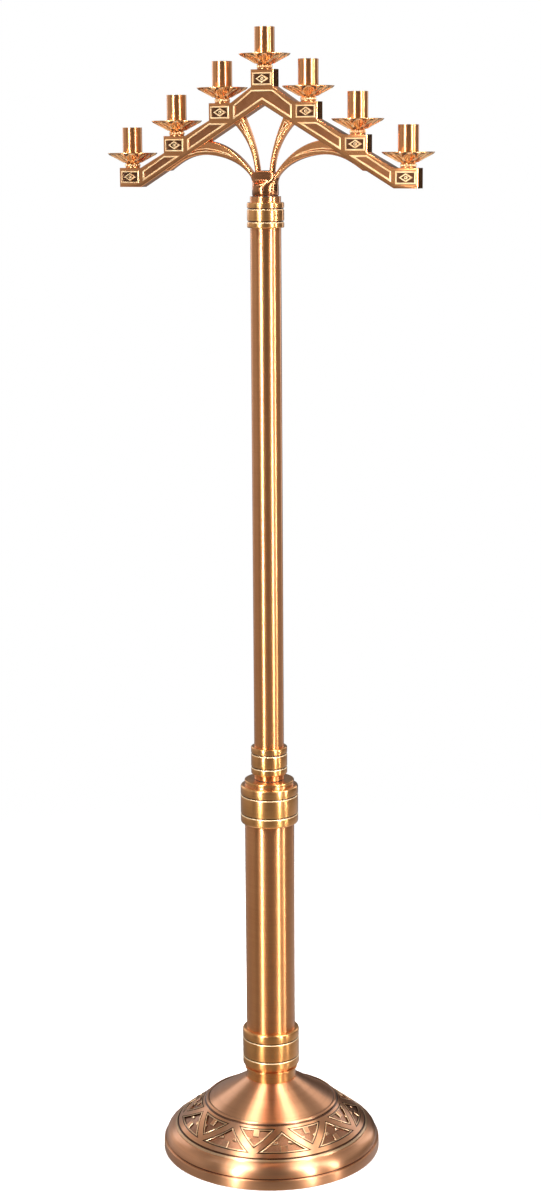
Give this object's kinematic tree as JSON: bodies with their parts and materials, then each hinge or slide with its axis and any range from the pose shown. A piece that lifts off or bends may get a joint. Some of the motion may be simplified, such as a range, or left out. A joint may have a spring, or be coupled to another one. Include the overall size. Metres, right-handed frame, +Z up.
{
  "type": "floor candelabrum",
  "caption": "Floor candelabrum: round ornamented base, thick column, thin lift-out staff and a turning stepped chevron branch with drip pans and tube candle sockets.",
  "frame": {"origin": "centre of the base on the floor, under the staff's axis", "axes": "+Z up along the staff; X along the branch, from candle 1 at -X to candle 7 at +X; the branch's front looks along -Y"},
  "size_m": [0.4616, 0.284, 1.4388],
  "materials": {
    "satin_bronze": "satin, turned, fine brushing round the axis, clear lacquer",
    "cast_bronze": "cast, satin, raised edges rubbed bright, clear lacquer",
    "polished_bronze": "bright satin tube, clear lacquer",
    "cast_iron": "sand cast, black paint",
    "steel": "turned, zinc plated",
    "nylon": "machined, dark",
    "felt": "dense wool felt"
  },
  "bodies": {
    "stand": {"base_shell": "cast_bronze", "base_ballast": "cast_iron", "base_felt": "felt", "tie_tube": "steel", "tie_washer": "steel", "tie_nut": "steel", "column_foot_ring": "satin_bronze", "column_tube": "satin_bronze", "column_lower_collar": "satin_bronze", "column_upper_collar": "satin_bronze", "column_collar_screws": "steel", "column_cap": "satin_bronze", "staff_guide_bush": "nylon", "column_seat_washer": "nylon"},
    "staff": {"staff_tube": "satin_bronze", "staff_foot_plug": "steel", "staff_spigot": "steel", "staff_foot_collar": "satin_bronze", "staff_head_collar": "satin_bronze", "staff_collar_screws": "steel", "staff_head_bush": "nylon", "swivel_washer": "nylon"},
    "branch": {"branch_hub": "cast_bronze", "hub_pin": "steel", "rib_inner_left": "cast_bronze", "rib_inner_right": "cast_bronze", "rib_outer_left": "cast_bronze", "rib_outer_right": "cast_bronze", "branch_beam": "cast_bronze", "socket_screws": "steel", "drip_pan_1": "cast_bronze", "candle_socket_1": "polished_bronze", "drip_pan_2": "cast_bronze", "candle_socket_2": "polished_bronze", "drip_pan_3": "cast_bronze", "candle_socket_3": "polished_bronze", "drip_pan_4": "cast_bronze", "candle_socket_4": "polished_bronze", "drip_pan_5": "cast_bronze", "candle_socket_5": "polished_bronze", "drip_pan_6": "cast_bronze", "candle_socket_6": "polished_bronze", "drip_pan_7": "cast_bronze", "candle_socket_7": "polished_bronze"}
  },
  "joints": [
    {"name": "staff_lift", "type": "slide", "parent": "stand", "child": "staff", "axis": [0, 0, 1], "range_m": [0, 0.1]},
    {"name": "branch_swivel", "type": "hinge", "parent": "staff", "child": "branch", "pos_m": [0, 0, 1.2378], "axis": [0, 0, 1], "continuous": true}
  ]
}
